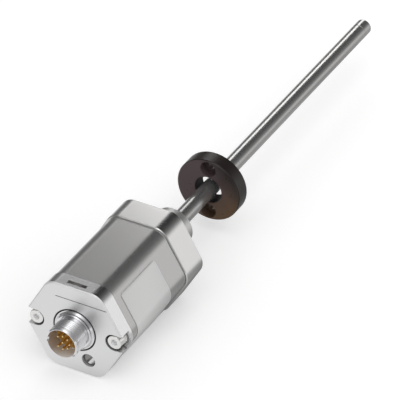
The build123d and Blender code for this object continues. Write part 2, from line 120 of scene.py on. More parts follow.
# The room's tone by the turn about the rod: 0 is to the right, 90 above, 180 to the left
REAR_TONES = ((-180, 0.16), (-150, 0.3), (-60, 0.5), (-20, 0.8), (5, 1.04), (18, 0.64), (30, 0.32),
              (42, 0.18), (55, 0.09), (78, 0.02), (104, 0.02), (114, 0.11), (122, 0.25), (129, 0.42),
              (138, 0.5), (146, 0.26), (155, 0.13), (174, 0.13))
FRONT_TONES = ((-180, 0.35), (-124, 0.55), (-30, 0.5), (-5, 0.48), (8, 0.4), (20, 0.34), (44, 0.37),
               (55, 0.51), (67, 0.77), (78, 1.05), (90, 1.6), (103, 1.6), (115, 0.62), (129, 0.27),
               (144, 0.19), (162, 0.2))

# Share of the way to straight behind at which the rear tones have taken over
REAR_FROM = 0.45

# Glow of the floor as the camera sees it
FLOOR_GLOW = 0.34

# Lamps: place, the point that they face, and size, in metres
KEY_LAMP = ((0.7, -0.6, 1.5), (0, 0, 0), (2.0, 2.0))
STRIP_LAMP = ((-0.315, 1.005, 0.375), (0, 1.005, 0), (0.235, 1.0))


# Colours and materials

def linear(code):
    """Linear RGBA of an sRGB hex colour."""
    parts = [int(code[i:i + 2], 16) / 255 for i in (1, 3, 5)]
    return tuple(c / 12.92 if c <= 0.04045 else ((c + 0.055) / 1.055) ** 2.4 for c in parts) + (1.0,)


def add_node(tree, kind, sockets=None, **settings):
    """Adds a shader node. A socket takes a value or another node's output."""
    node = tree.nodes.new("ShaderNode" + kind)
    for name, value in settings.items():
        setattr(node, name, value)
    for name, value in (sockets or {}).items():
        if isinstance(value, bpy.types.NodeSocket):
            tree.links.new(value, node.inputs[name])
        else:
            node.inputs[name].default_value = value
    return node


def maths(tree, operation, *values):
    """Result of a Math node on numbers or outputs."""
    return add_node(tree, "Math", dict(enumerate(values)), operation=operation).outputs[0]


def fade(tree, value, start, end, low=0.0, high=1.0, **settings):
    """Runs from low to high as the value goes from start to end, and stays there outside."""
    return add_node(tree, "MapRange", {"Value": value, "From Min": start, "From Max": end,
                                       "To Min": low, "To Max": high}, **settings).outputs["Result"]


def place_in(tree, size_mm, stretch=(1, 1, 1)):
    """Object coordinates in units of a real size."""
    scale = tuple(1 / (size_mm * MM * s) for s in stretch)
    place = add_node(tree, "TexCoord").outputs["Object"]
    return add_node(tree, "Mapping", {"Vector": place, "Scale": scale}).outputs["Vector"]


def new_material(name, colour, roughness, metallic=0.0, **sockets):
    """Material with one Principled shader."""
    material = bpy.data.materials.new(name)
    material.use_nodes = True
    tree = material.node_tree
    tree.nodes.clear()
    values = {"Base Color": tuple(colour), "Roughness": roughness, "Metallic": metallic}
    values.update({key.replace("_", " "): value for key, value in sockets.items()})
    shader = add_node(tree, "BsdfPrincipled", values)
    add_node(tree, "OutputMaterial", {"Surface": shader.outputs["BSDF"]})
    return material, tree, shader


def add_grain(tree, shader, size_mm, stretch=(1, 1, 1), wander=0.0, height_mm=0.0, tint=0.0):
    """Fine irregular pattern of a real size: it varies the roughness, the height and the tone."""
    place = place_in(tree, size_mm, stretch)
    noise = add_node(tree, "TexNoise", {"Vector": place, "Scale": 1.0, "Detail": 4.0}).outputs["Fac"]
    if wander:
        base = shader.inputs["Roughness"].default_value
        spread = fade(tree, noise, *NOISE_RANGE, base - wander, base + wander)
        tree.links.new(spread, shader.inputs["Roughness"])
    if height_mm:
        bump = add_node(tree, "Bump", {"Height": noise, "Distance": height_mm * MM, "Strength": 1.0})
        tree.links.new(bump.outputs["Normal"], shader.inputs["Normal"])
    if tint:
        colour = Vector(shader.inputs["Base Color"].default_value[:3])
        ramp = add_node(tree, "ValToRGB", {"Fac": noise})
        darker, lighter = ramp.color_ramp.elements
        darker.position, lighter.position = NOISE_RANGE
        darker.color = tuple(colour * (1 - tint)) + (1.0,)
        lighter.color = tuple(min(c * (1 + tint), 1.0) for c in colour) + (1.0,)
        tree.links.new(ramp.outputs["Color"], shader.inputs["Base Color"])


def grained(name, colour, roughness, size_mm, metallic=0.0, ior=None, **pattern):
    """Material of one tone with its grain. Without an IOR it keeps the shader's own."""
    sockets = {"IOR": ior} if ior else {}
    material, tree, shader = new_material(name, colour, roughness, metallic, **sockets)
    add_grain(tree, shader, size_mm, **pattern)
    return material


def near_axis(tree, x, z, radius):
    """1 within a radius of a line along the rod's direction, and 0 outside it. Lengths in metres."""
    place = add_node(tree, "TexCoord").outputs["Object"]
    flat = add_node(tree, "VectorMath", {0: place, 1: (1, 0, 1)}, operation="MULTIPLY")
    away = add_node(tree, "VectorMath", {0: flat.outputs["Vector"], 1: (x, 0, z)}, operation="DISTANCE")
    return maths(tree, "LESS_THAN", away.outputs["Value"], radius)


def within(tree, axis, low, high):
    """1 between two places along an axis, and 0 outside them. Lengths in metres."""
    place = add_node(tree, "TexCoord").outputs["Object"]
    along = add_node(tree, "SeparateXYZ", {"Vector": place}).outputs[axis]
    return maths(tree, "COMPARE", along, (low + high) / 2, (high - low) / 2)


def share_along(tree, direction, start, end):
    """Runs from 0 at one distance along a direction to 1 at another. Lengths in metres."""
    place = add_node(tree, "TexCoord").outputs["Object"]
    along = add_node(tree, "VectorMath", {0: place, 1: direction}, operation="DOT_PRODUCT")
    return fade(tree, along.outputs["Value"], start, end)


def both(tree, first, second):
    """Product of two masks or tones."""
    return maths(tree, "MULTIPLY", first, second)


def overlay(tree, shader, mask, **sockets):
    """Gives the shader's sockets other values where the mask is 1. A colour is a hex code."""
    for key, value in sockets.items():
        socket = shader.inputs[key.replace("_", " ")]
        colour = key == "Base_Color"
        if socket.links:
            now = socket.links[0].from_socket
        else:
            now = tuple(socket.default_value) if colour else socket.default_value
        # The Mix node keeps its two colours at inputs 6 and 7, and its two numbers at 2 and 3.
        first, kind = (6, "RGBA") if colour else (2, "FLOAT")
        other = linear(value) if colour else value
        mixed = add_node(tree, "Mix", {0: mask, first: now, first + 1: other}, data_type=kind)
        tree.links.new(mixed.outputs[2 if colour else 0], socket)


def cap_aluminium(finish):
    """Chemically nickel-plated aluminium, milled: a light metal with a soft, even sheen."""
    material, tree, shader = new_material("satin_nickel_plate", finish.cap,
                                          finish.cap_roughness, 1.0)
    add_grain(tree, shader, 0.9, wander=0.02, height_mm=0.0006)
    # The face is milled, and mirrors less sharply than the sides.
    front = cap_low.y
    overlay(tree, shader, within(tree, "Y", front - SKIN, front + SKIN), Roughness=0.36)
    # The chamfer round the face is left bright and satin by its cutter.
    chamfer = within(tree, "Y", front + 2 * SKIN, front + CAP_CHAMFER)
    overlay(tree, shader, chamfer, Roughness=0.6, Metallic=0.6, Base_Color="#f4f4f4")
    # Bores are duller than the faces, and are tinted darker as painted shade.
    for x, z, radius, share, tint in CAP_SHADED_BORES:
        bore = near_axis(tree, x * MM, z * MM, radius * MM)
        deep = both(tree, bore, within(tree, "Y", front + BELOW_FACE, cap_high.y))
        overlay(tree, shader, deep, Roughness=0.5, Metallic=share, Base_Color=tint)
    # The scribed line is painted dark, as painted shade in its groove.
    strip = both(tree, within(tree, "Z", *SCRIBED_UP), within(tree, "X", *SCRIBED_ACROSS))
    line = both(tree, strip, within(tree, "Y", front - SKIN, front + SCRIBED_DEPTH))
    overlay(tree, shader, line, Roughness=0.5, Base_Color="#6e6e6e")
    return material


def profile_aluminium(finish):
    """Extruded aluminium, clear anodised: greyer than the cap, with faint die lines along it."""
    # Real die lines are a few hundredths apart; these are coarser, so that they show.
    return grained("anodised_extrusion", finish.profile, finish.profile_roughness, 0.35, metallic=0.84,
                   stretch=(1, 60, 1), wander=0.008, height_mm=0.00005)


def flange_steel(finish):
    """Turned and milled stainless steel with a fine feed pattern."""
    material, tree, shader = new_material("machined_stainless", finish.flange,
                                          finish.flange_roughness, 1.0)
    add_grain(tree, shader, 0.4, stretch=(6, 1, 6), wander=0.03, height_mm=0.0005)
    # The spigot behind the face is turned, and duller than the milled flats.
    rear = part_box("mounting_flange")[1].y
    overlay(tree, shader, within(tree, "Y", BELOW_FACE, rear), Roughness=0.45)
    return material


def rod_steel(finish):
    """Drawn and polished stainless tube: almost a mirror, with hairlines along its length."""
    return grained("polished_stainless_tube", finish.rod, finish.rod_roughness, 0.3, metallic=0.83,
                   stretch=(1, 80, 1), wander=0.004, height_mm=0.00004)


def screw_steel(finish):
    """Bright cold-headed stainless steel."""
    material, tree, shader = new_material("bright_fastener_steel", finish.screws, 0.22, 1.0)
    add_grain(tree, shader, 0.6, wander=0.04, height_mm=0.0006)
    # The earth screw's slot and the side of its head lie in shade.
    low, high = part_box("earth_screw")
    x, z = (low.x + high.x) / 2, (low.z + high.z) / 2
    head = near_axis(tree, x, z, EARTH_REACH)
    shade = both(tree, head, within(tree, "Y", low.y + EARTH_FACE, high.y))
    overlay(tree, shader, shade, Roughness=0.4, Base_Color="#8c8b8a")
    # Its face is dull and darker, with a painted highlight beside the slot.
    face = both(tree, head, within(tree, "Y", low.y - BELOW_FACE, low.y + BELOW_FACE))
    overlay(tree, shader, face, Roughness=0.4, Metallic=0.3, Base_Color="#9a9998")
    across = Vector((math.sin(EARTH_SLOT), 0, -math.cos(EARTH_SLOT)))
    dark, light, still_light, dark_again = (across.dot((x, 0, z)) + place for place in EARTH_PAINTED_HIGHLIGHT)
    painted_highlight = both(tree, share_along(tree, across, dark, light),
                share_along(tree, across, dark_again, still_light))
    overlay(tree, shader, both(tree, face, painted_highlight), Metallic=0.1, Base_Color="#ffffff")
    # The hexagon sockets are cold-formed and satin, and coloured a dull white as painted light for the
    # glints in them.
    low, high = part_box("cap_screws")
    for x in (low.x + HEAD_RADIUS, high.x - HEAD_RADIUS):
        round_it = near_axis(tree, x, 0, SOCKET_REACH)
        socket = both(tree, round_it, within(tree, "Y", low.y + 2 * SKIN, high.y))
        overlay(tree, shader, socket, Roughness=0.4, Metallic=0.1, Base_Color="#fafafa")
    return material


def connector_nickel(finish):
    """Bright nickel plate on turned brass, with faint turning rings."""
    material, tree, shader = new_material("bright_nickel_plate", finish.connector, 0.13, 1.0)
    add_grain(tree, shader, 0.25, stretch=(40, 1, 40), wander=0.02, height_mm=0.0003)
    # The bore is brushed, and mirrors the amber insulator as a blur.
    bore = near_axis(tree, 0, 0, SHELL_BORE_REACH)
    overlay(tree, shader, bore, Roughness=0.42, Metallic=0.5, Base_Color="#c8c0b8")
    # Down and to the right it is more satin, with painted light that makes it lighter.
    bright = both(tree, bore, share_along(tree, (1, 0, -1), *SHELL_BORE_PAINTED_LIGHT))
    overlay(tree, shader, bright, Base_Color="#eae8e6", Metallic=0.1, Roughness=0.5)
    return material


def insulator_amber(finish):
    """Moulded amber thermoplastic: a little light goes into it."""
    return grained("amber_thermoplastic", finish.insulator, 0.32, 0.8, ior=1.58, height_mm=0.002,
                   tint=0.12)


def contact_gold(finish):
    """Gold plate on turned contacts."""
    return grained("gold_plate", finish.gold, 0.18, 0.2, metallic=1.0, wander=0.04)


def anchor_brass(finish):
    """Plain turned brass."""
    return grained("turned_brass", linear("#c9a24f"), 0.3, 0.2, metallic=1.0, stretch=(20, 1, 20),
                   wander=0.05)


def seal_rubber(finish):
    """Nitrile rubber: black, dull, with a slight bloom. The flange's gasket is a grey fibre sheet, coloured
    lighter as painted light over its shaded joint.
    """
    material, tree, shader = new_material("nitrile_rubber", linear("#1d1d1e"), 0.62, IOR=1.52)
    add_grain(tree, shader, 0.5, wander=0.08, height_mm=0.004, tint=0.2)
    low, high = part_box("flange_gasket")
    # Painted light: the flange's gasket is light grey, which lightens its shaded joint.
    overlay(tree, shader, within(tree, "Y", low.y, high.y), Roughness=0.8, Base_Color="#bdbcbb")
    return material


def board_green(finish):
    """Glass-epoxy board under green solder mask, with the tracks showing as lighter lines."""
    material, tree, shader = new_material("solder_mask", linear("#0d5a2a"), 0.35, IOR=1.5)
    # Tracks about 0.7 mm apart, joined every 1.4 mm.
    tracks = add_node(tree, "TexBrick", {"Vector": place_in(tree, 1), "Scale": 0.35, "Mortar Size": 0.06,
                                         "Color1": linear("#0d5a2a"), "Color2": linear("#0b5226"),
                                         "Mortar": linear("#2c8a45")})
    tree.links.new(tracks.outputs["Color"], shader.inputs["Base Color"])
    return material


def chip_black(finish):
    """Moulded epoxy package: matt black with a fine grit."""
    return grained("moulded_epoxy", linear("#202122"), 0.55, 0.15, ior=1.55, height_mm=0.003, tint=0.15)


def capacitor_can(finish):
    """Drawn aluminium can."""
    return grained("drawn_aluminium_can", linear("#d3d3d2"), 0.3, 0.2, metallic=1.0,
                   stretch=(1, 1, 30), wander=0.05)


def lamp_clear(finish):
    """Clear epoxy lamp, faintly green."""
    return grained("clear_epoxy", linear("#d6e4cf"), 0.15, 0.4, ior=1.53, tint=0.05)


def guide_smoked(finish):
    """Smoked acrylic light guide: glossy and nearly black from outside."""
    material, tree, shader = new_material("smoked_acrylic", finish.window, 0.2, IOR=1.49)
    add_grain(tree, shader, 2.2, wander=0.05, tint=0.1)
    # The lamps sit behind its two ends, which are coloured darker than its middle.
    low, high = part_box("light_guide")
    for end, tint in ((low.x, "#4c4847"), (high.x, "#393435")):
        near_end = within(tree, "X", end - WINDOW_END, end + WINDOW_END)
        overlay(tree, shader, near_end, Base_Color=tint)
    return material


def flex_amber(finish):
    """Polyimide film over copper tracks."""
    return grained("polyimide_film", linear("#b9741f"), 0.3, 0.7, ior=1.7, stretch=(1, 20, 20),
                   tint=0.25)


def nameplate_film(finish):
    """Silver polyester film: matt and lighter than the anodised metal round it."""
    return grained("silver_polyester_film", finish.nameplate, 0.42, 0.5, metallic=0.55, wander=0.03,
                   height_mm=0.0008, tint=0.02)


def carrier_plastic(finish):
    """Black glass-filled nylon, moulded, with flow marks."""
    return grained("glass_filled_nylon", linear("#232324"), 0.5, 0.6, ior=1.53, stretch=(1, 4, 1),
                   wander=0.08, height_mm=0.003, tint=0.2)


def bobbin_plastic(finish):
    """Natural moulded polyester."""
    return grained("natural_polyester", linear("#dcd8cb"), 0.4, 0.5, ior=1.57, height_mm=0.002,
                   tint=0.04)


def copper_wire(finish):
    """Enamelled copper wire: warm metal under a clear coat."""
    material, tree, shader = new_material("enamelled_copper", linear("#c87a4a"), 0.28, 1.0,
                                          Coat_Weight=0.6, Coat_Roughness=0.1)
    add_grain(tree, shader, 0.12, stretch=(1, 1, 12), wander=0.06)
    return material


def waveguide_alloy(finish):
    """Drawn nickel-iron wire."""
    return grained("drawn_nickel_iron", linear("#b9b6b0"), 0.25, 0.1, metallic=1.0, stretch=(1, 60, 1),
                   wander=0.05)


def sleeve_plastic(finish):
    """Extruded white fluoropolymer: waxy and slightly see-through."""
    return grained("white_fluoropolymer", linear("#e6e6e2"), 0.38, 0.6, ior=1.38, stretch=(1, 20, 1),
                   wander=0.05, tint=0.03)


def magnet_sintered(finish):
    """Sintered ferrite: dark grey, granular."""
    return grained("sintered_ferrite", linear("#3b3b3d"), 0.5, 0.15, ior=2.0, wander=0.08,
                   height_mm=0.004, tint=0.2)


def magnet_compound(finish):
    """Injection-moulded ferrite compound: near black with a brown cast, and a moulded gloss."""
    material, tree, shader = new_material("moulded_ferrite_compound", finish.magnet,
                                          finish.magnet_roughness, IOR=1.4)
    # Painted reflection makes it browner down and to the right, and painted shade makes it darker up and to
    # the right.
    for side, start, tint in (((1, 0, -1), -3 * MM, "#66503a"), ((1, 0, 1), 8 * MM, "#2d2725")):
        overlay(tree, shader, share_along(tree, side, start, RING_PAINTED_FADE_END), Base_Color=tint)
    add_grain(tree, shader, 3.5, wander=0.03, height_mm=0.001)
    # The rim is painted darker as painted shade, and the bore is painted nearly black as painted shade.
    inside = near_axis(tree, 0, 0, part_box("position_magnet")[1].x - RING_SHADED_RIM)
    rim = maths(tree, "SUBTRACT", 1.0, inside)
    overlay(tree, shader, rim, Base_Color="#231c1a", Roughness=0.35)
    bore = near_axis(tree, 0, 0, RING_SHADED_BORE_REACH)
    overlay(tree, shader, bore, Base_Color="#15110f", Roughness=0.6)
    return material


# One function for each material slot of the record, named like the slot
MAKERS = (cap_aluminium, profile_aluminium, flange_steel, rod_steel, screw_steel, connector_nickel,
          insulator_amber, contact_gold, anchor_brass, seal_rubber, board_green, chip_black,
          capacitor_can, lamp_clear, guide_smoked, flex_amber, nameplate_film, carrier_plastic,
          bobbin_plastic, copper_wire, waveguide_alloy, sleeve_plastic, magnet_sintered,
          magnet_compound)
FINISHES = {maker.__name__: maker for maker in MAKERS}


def material_for(slot):
    """The slot's material, made the first time that it is asked for."""
    key = "finish_" + slot
    for material in bpy.data.materials:
        if material.get("slot") == key:
            return material
    material = FINISHES[slot](bpy.context.scene.sensor_finishes)
    material["slot"] = key
    return material


def dress_nodes(*names):
    """Gives CAD nodes the material of their slot."""
    slots = {part["node"]: part["material_slot"] for part in frame["record"]["subparts"]}
    for name in names:
        frame["nodes"][name].material_slots[0].material = material_for(slots[name])


# Mesh helpers

def list_by_vertices(bm):
    """Puts edges and faces in the order of their vertices, as Blender's own changes from run to run."""
    bm.verts.index_update()
    for items in (bm.edges, bm.faces):
        ordered = sorted(items, key=lambda item: [vert.index for vert in item.verts])
        for index, item in enumerate(ordered):
            item.index = index
        items.sort()


def finish_piece(name, bm, slot, body, replaced=(), smooth_angle=40):
    """Turns a bmesh into a piece at the origin that rides on a CAD body."""
    bmesh.ops.remove_doubles(bm, verts=bm.verts, dist=WELD)
    bmesh.ops.recalc_face_normals(bm, faces=bm.faces)
    list_by_vertices(bm)
    mesh = bpy.data.meshes.new(name)
    bm.to_mesh(mesh)
    bm.free()
    mesh.shade_smooth()
    mesh.set_sharp_from_angle(angle=math.radians(smooth_angle))
    mesh.materials.append(material_for(slot))
    piece = bpy.data.objects.new(name, mesh)
    bpy.context.collection.objects.link(piece)
    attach(piece, body)
    if replaced:
        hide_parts(*replaced)
    return piece


def spin_profile(bm, points, centre=(0, 0, 0), steps=48):
    """Full turn about +Y of an open or closed line of (radius, station) points."""
    verts = [bm.verts.new((centre[0] + radius, station, centre[2])) for radius, station in points]
    edges = [bm.edges.new(pair) for pair in zip(verts, verts[1:])]
    bmesh.ops.spin(bm, geom=verts + edges, cent=centre, axis=(0, 1, 0), angle=2 * math.pi,
                   steps=steps, use_merge=True)


# Sizes and colours that a user would change

def colour_property(name, description, code):
    return bpy.props.FloatVectorProperty(name=name, description=description, subtype="COLOR", size=4,
                                         min=0, max=1, default=linear(code))


def factor_property(name, description, value):
    return bpy.props.FloatProperty(name=name, description=description, subtype="FACTOR", min=0, max=1,
                                   default=value)


def length_property(name, description, value):
    return bpy.props.FloatProperty(name=name, description=description, unit="LENGTH", precision=5,
                                   default=value)


def angle_property(name, description, degrees):
    return bpy.props.FloatProperty(name=name, description=description, subtype="ANGLE",
                                   default=math.radians(degrees))


def number_property(name, description, value):
    return bpy.props.FloatProperty(name=name, description=description, min=0, default=value)


def count_property(name, description, value, least):
    return bpy.props.IntProperty(name=name, description=description, default=value, min=least)


class SENSOR_PG_finishes(bpy.types.PropertyGroup):
    """Colours and roughness of the outer pieces."""
    cap: colour_property("Cap", "Nickel plate on the cap", "#e8e8e8")
    cap_roughness: factor_property("Cap roughness", "Sheen of the cap", 0.23)
    profile: colour_property("Profile", "Anodised profile", "#bcbbba")
    profile_roughness: factor_property("Profile roughness", "Sheen of the profile", 0.225)
    flange: colour_property("Flange", "Stainless flange", "#dfdedd")
    flange_roughness: factor_property("Flange roughness", "Sheen of the flange", 0.24)
    rod: colour_property("Rod", "Polished rod", "#afaead")
    rod_roughness: factor_property("Rod roughness", "Sheen of the rod", 0.22)
    screws: colour_property("Screws", "Bright screws", "#ecebea")
    connector: colour_property("Connector", "Nickel of the connector", "#e4e4e6")
    insulator: colour_property("Insulator", "Amber insulator", "#c9943f")
    gold: colour_property("Gold", "Plate of the contacts", "#f3d596")
    window: colour_property("Window", "Smoked window", "#625e5b")
    nameplate: colour_property("Nameplate", "Bare nameplate", "#e1e1e0")
    magnet: colour_property("Magnet", "Compound of the ring", "#534547")
    magnet_roughness: factor_property("Magnet roughness", "Gloss of the ring", 0.3)


class SENSOR_PG_connector(bpy.types.PropertyGroup):
    """Threaded shell and contacts."""
    bore: length_property("Bore", "Radius of the shell's bore round the insert", 6.8 * MM)
    mouth: length_property("Mouth", "Radius of the bore before the insert", 7.1 * MM)
    rim: length_property("Rim", "Radius of the shell's rim", 7.4 * MM)
    undercut: length_property("Undercut", "Radius behind the thread", 7.5 * MM)
    shoulder: length_property("Shoulder", "Radius of the shoulder", 9.2 * MM)
    shoulder_height: length_property("Shoulder height", "Height of the shoulder over the cap", 2.0 * MM)
    shoulder_edge: length_property("Shoulder edge", "Bevel of the shoulder", 0.5 * MM)
    thread_pitch: length_property("Thread pitch", "Advance of the thread per turn", 1.0 * MM)
    thread_depth: length_property("Thread depth", "Crest over root of the thread", 0.25 * MM)
    thread_lead: length_property("Thread lead", "Plain length before the thread", 0.2 * MM)
    thread_relief: length_property("Thread relief", "Plain length behind the thread", 1.0 * MM)
    notch_depth: length_property("Notch depth", "Depth of the key notches in the rim", 1.3 * MM)
    wide_notch: angle_property("Wide notch", "Half angle of the notch on the left", 7.6)
    side_notch: angle_property("Side notch", "Half angle of the narrow notch", 4.6)
    notch_angle: angle_property("Side notch's place", "Place of the narrow notch", -35)
    contact_radius: length_property("Contact radius", "Half the thickness of a contact", 0.5 * MM)
    contact_count: count_property("Ring contacts", "Contacts round the middle one", 7, 2)
    contact_span: angle_property("Contact span", "Angle from first to last ring contact", 262)


class SENSOR_PG_fasteners(bpy.types.PropertyGroup):
    """Socket-head screws."""
    head_radius: length_property("Head radius", "Half the width of a screw head", HEAD_RADIUS)
    head_height: length_property("Head height", "Height of a screw head", 4.0 * MM)
    shank_radius: length_property("Shank radius", "Half the thread's diameter", 2.0 * MM)
    socket_flat: length_property("Socket width", "Across the flats of the hexagon socket", 3.0 * MM)
    socket_depth: length_property("Socket depth", "Depth of the hexagon socket", 2.2 * MM)
    edge: length_property("Head edge", "Rounding of the head's rim", 0.35 * MM)
    knurl_depth: length_property("Knurl depth", "Depth of the grip lines on the head", 0.08 * MM)
    knurl_lines: count_property("Knurl lines", "Grip lines round the head", 36, 6)


class SENSOR_PG_nameplate(bpy.types.PropertyGroup):
    """Bare plate bent round the profile's right corner."""
    rise: length_property("Rise", "Long edge from the middle of the flat", 6.5 * MM)
    bend: length_property("Bend", "Radius of the profile's corner", 8.0 * MM)
    corner: length_property("Corner", "Radius of the corners", 1.5 * MM)
    thickness: length_property("Thickness", "Thickness of the plate", 0.3 * MM)
    edge: length_property("Edge", "Bevel round the plate", 0.1 * MM)


class SENSOR_PG_stage(bpy.types.PropertyGroup):
    """Camera, floor and light."""
    azimuth: angle_property("Azimuth", "Turn of the camera round the part", 29.31)
    elevation: angle_property("Elevation", "Height angle of the camera", 35.47)
    roll: angle_property("Roll", "Tilt of the camera about its view", -0.452)
    distance: length_property("Distance", "Camera to the cap's face", 1.8415)
    aim_right: length_property("Aim right", "Cap's face left of the picture's centre", 0.05559)
    aim_up: length_property("Aim up", "Cap's face below the picture's centre", 0.05765)
    lens: number_property("Lens", "Focal length in millimetres", 373.91)
    floor_size: length_property("Floor size", "Side of the floor", 8.0)
    floor: colour_property("Floor", "Pale floor", "#e8e8e8")
    floor_tone: factor_property("Floor tone", "Tone of the mirrored floor far from the part", 0.88)
    sky: number_property("Sky", "Strength of the even light", 0.6)
    room: number_property("Room", "Strength of the room's reflection in the metal", 1.0)
    key_power: number_property("Key", "Power of the key light in watts", 11.0)
    strip_power: number_property("Strip", "Power of the strip light in watts", 1.85)


# Operators

class SENSOR_OT_metalwork(bpy.types.Operator):
    """Dress the cap, the profile, the flange and the rod"""
    bl_idname = "sensor.metalwork"
    bl_label = "Head and rod"

    def execute(self, context):
        dress_nodes("end_cap", "housing_profile", "mounting_flange", "sensor_rod", "rod_end_plug",
                    "cap_gasket", "flange_gasket", "flange_o_ring", "light_guide")
        return {"FINISHED"}


class SENSOR_OT_fasteners(bpy.types.Operator):
    """Make the socket-head screws and dress the washers and the earth screw"""
    bl_idname = "sensor.fasteners"
    bl_label = "Screws"

    def execute(self, context):
        sizes = context.scene.sensor_fasteners
        dress_nodes("spring_washers", "plain_washers", "earth_screw")
        low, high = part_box("cap_screws")
        bm = bmesh.new()
        for side in (-1, 1):
            centre = Vector((side * (high.x - sizes.head_radius), 0, 0))
            self.add_screw(bm, sizes, centre, low.y, high.y)
        finish_piece("socket_head_screws", bm, "screw_steel", SENSOR, ["cap_screws"], smooth_angle=30)
        return {"FINISHED"}

    def add_screw(self, bm, sizes, centre, front, rear):
        """One screw: knurled head with a rounded rim and a hexagon socket, and a plain shank."""
        rim = sizes.head_radius - sizes.edge
        shoulder = front + sizes.head_height
        steps = 2 * sizes.knurl_lines
        arc = [math.radians(angle) for angle in (90, 67.5, 45, 22.5, 0)]
        points = [(rim + sizes.edge * math.cos(a), front + sizes.edge * (1 - math.sin(a))) for a in arc]
        points += [(sizes.head_radius, shoulder), (sizes.shank_radius, shoulder),
                   (sizes.shank_radius, rear), (0, rear)]
        start = len(bm.verts)
        spin_profile(bm, points, centre, steps)
        bm.verts.ensure_lookup_table()
        bmesh.ops.remove_doubles(bm, verts=bm.verts[start:], dist=WELD)
        self.cut_knurl(bm, sizes, centre, front, shoulder, steps)
        self.add_socket(bm, sizes, centre, front, rim, steps)

    def cut_knurl(self, bm, sizes, centre, front, shoulder, steps):
        """Pulls in every second vertex of the head's side."""
        for vert in bm.verts:
            flat = Vector((vert.co.x - centre.x, 0, vert.co.z - centre.z))
            on_side = front + 0.9 * sizes.edge < vert.co.y < shoulder + CLOSE
            if on_side and abs(flat.length - sizes.head_radius) < CLOSE:
                turn = round(math.atan2(flat.z, flat.x) / (2 * math.pi) * steps)
                if turn % 2:
                    vert.co -= flat.normalized() * sizes.knurl_depth

    def add_socket(self, bm, sizes, centre, front, rim, steps):
        """Flat top with a hexagon socket and its drilled, conical floor."""
        middle = Matrix.Translation(centre + Vector((0, front, 0)))
        turn = middle @ Matrix.Rotation(math.radians(90), 4, "X")
        corner = sizes.socket_flat / math.sqrt(3)
        socket = bmesh.ops.create_circle(bm, segments=6, radius=corner, matrix=turn)["verts"]
        sides = list({edge for vert in socket for edge in vert.link_edges})
        bmesh.ops.subdivide_edges(bm, edges=sides, cuts=steps // 6 - 1)
        mouth = [edge for edge in bm.edges if edge.is_wire]
        ring = [edge for edge in bm.edges if edge.is_boundary
                and all(abs(vert.co.y - front) < WELD for vert in edge.verts)
                and all(abs((vert.co - centre).xz.length - rim) < CLOSE for vert in edge.verts)]
        bmesh.ops.bridge_loops(bm, edges=mouth + ring)
        walls = bmesh.ops.extrude_edge_only(bm, edges=mouth)["geom"]
        deep = [item for item in walls if isinstance(item, bmesh.types.BMVert)]
        bmesh.ops.translate(bm, verts=deep, vec=(0, sizes.socket_depth, 0))
        bottom = [item for item in walls if isinstance(item, bmesh.types.BMEdge)
                  and all(vert in deep for vert in item.verts)]
        floor = bmesh.ops.contextual_create(bm, geom=bottom)["faces"]
        cone = 0.3 * sizes.socket_depth
        tip = bmesh.ops.poke(bm, faces=floor)["verts"]
        bmesh.ops.translate(bm, verts=tip, vec=(0, cone, 0))


